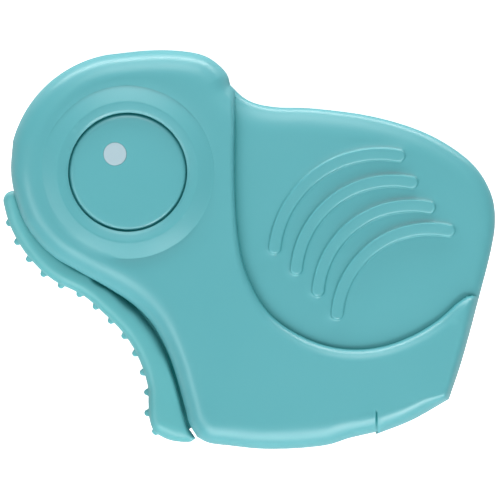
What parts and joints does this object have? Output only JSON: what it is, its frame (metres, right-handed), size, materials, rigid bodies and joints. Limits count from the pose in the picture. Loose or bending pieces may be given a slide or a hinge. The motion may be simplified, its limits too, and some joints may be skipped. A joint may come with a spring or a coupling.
{
  "type": "folding rotary cutter",
  "caption": "Folding rotary cutter: a moulded casing with a thumb rest, and a ridged arm that swings a round blade out of it about a push-button lock.",
  "frame": {"origin": "under the middle of the whole object, on the surface that its rear face lies on", "axes": "+X along the length towards the thumb rest's end, +Y up the picture towards the button's side, +Z out of the front face"},
  "size_m": [0.108, 0.0874, 0.021],
  "materials": {
    "mint_plastic": "satin moulded plastic, mint green",
    "arm_plastic": "satin moulded plastic, mint green",
    "white_dot": "smooth pale plastic",
    "dark_plastic": "matt dark acetal",
    "blade_steel": "ground tool steel",
    "screw_steel": "zinc-plated steel"
  },
  "bodies": {
    "casing": {"front_shell": "mint_plastic", "rear_shell": "mint_plastic", "key_post": "screw_steel", "pivot_bush": "screw_steel", "pivot_washer_front": "dark_plastic", "pivot_washer_rear": "dark_plastic", "pivot_screw": "screw_steel", "shell_screw_1": "screw_steel", "shell_screw_2": "screw_steel", "shell_screw_3": "screw_steel", "button_spring": "screw_steel"},
    "arm": {"blade_arm": "arm_plastic", "blade_bolt": "screw_steel", "blade_washer": "screw_steel", "blade_bush": "screw_steel", "spring_washer": "screw_steel", "blade_nut": "screw_steel"},
    "blade": {"rotary_blade": "blade_steel"},
    "button": {"eye_button": "mint_plastic", "eye_dot": "white_dot", "lock_plunger": "dark_plastic"}
  },
  "joints": [
    {"name": "fold_hinge", "type": "hinge", "parent": "casing", "child": "arm", "pos_m": [-0.02639, 0.01687, 0.01], "axis": [0, 0, -1], "range_deg": [0, 115]},
    {"name": "blade_spin", "type": "hinge", "parent": "arm", "child": "blade", "pos_m": [0.00511, -0.01953, 0.01205], "axis": [0, 0, 1], "continuous": true},
    {"name": "eye_button_press", "type": "slide", "parent": "casing", "child": "button", "axis": [0, 0, -1], "range_m": [0, 0.0018], "stiffness_N_per_m": 1500, "springref_m": -0.001, "deforming": ["button_spring"]}
  ]
}
